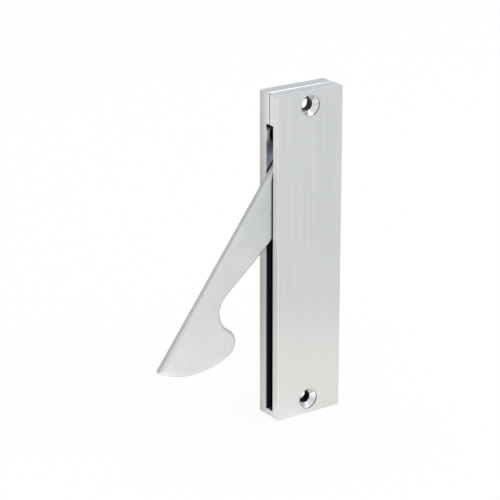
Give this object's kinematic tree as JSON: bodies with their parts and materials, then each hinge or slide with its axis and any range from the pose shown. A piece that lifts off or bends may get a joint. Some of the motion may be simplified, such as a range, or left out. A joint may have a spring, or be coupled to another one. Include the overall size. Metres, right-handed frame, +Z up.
{
  "type": "pocket door pull",
  "caption": "Slotted flush case for the edge of a sliding door, with a flat hooked lever that swings out of its narrow face to draw the door out of its pocket.",
  "frame": {"origin": "centre of the case's flat rear face, which seats in the door", "axes": "+X away from the slotted narrow face, +Y out of the rear face into the door, +Z up along the case"},
  "size_m": [0.0675, 0.01, 0.11],
  "materials": {
    "brushed_case": "satin metal, brushed along its height",
    "satin_lever": "fine satin metal",
    "plain_steel": "plain steel"
  },
  "bodies": {
    "case": {"front_half": "brushed_case", "rear_half": "brushed_case", "pivot_pin": "plain_steel", "front_washer": "plain_steel", "rear_washer": "plain_steel", "case_screws": "plain_steel"},
    "lever": {"lever": "satin_lever"}
  },
  "joints": [
    {"name": "lever_swing", "type": "hinge", "parent": "case", "child": "lever", "pos_m": [-0.0025, 0, 0.0262], "axis": [0, 1, 0], "range_deg": [-36.08, 0]}
  ]
}
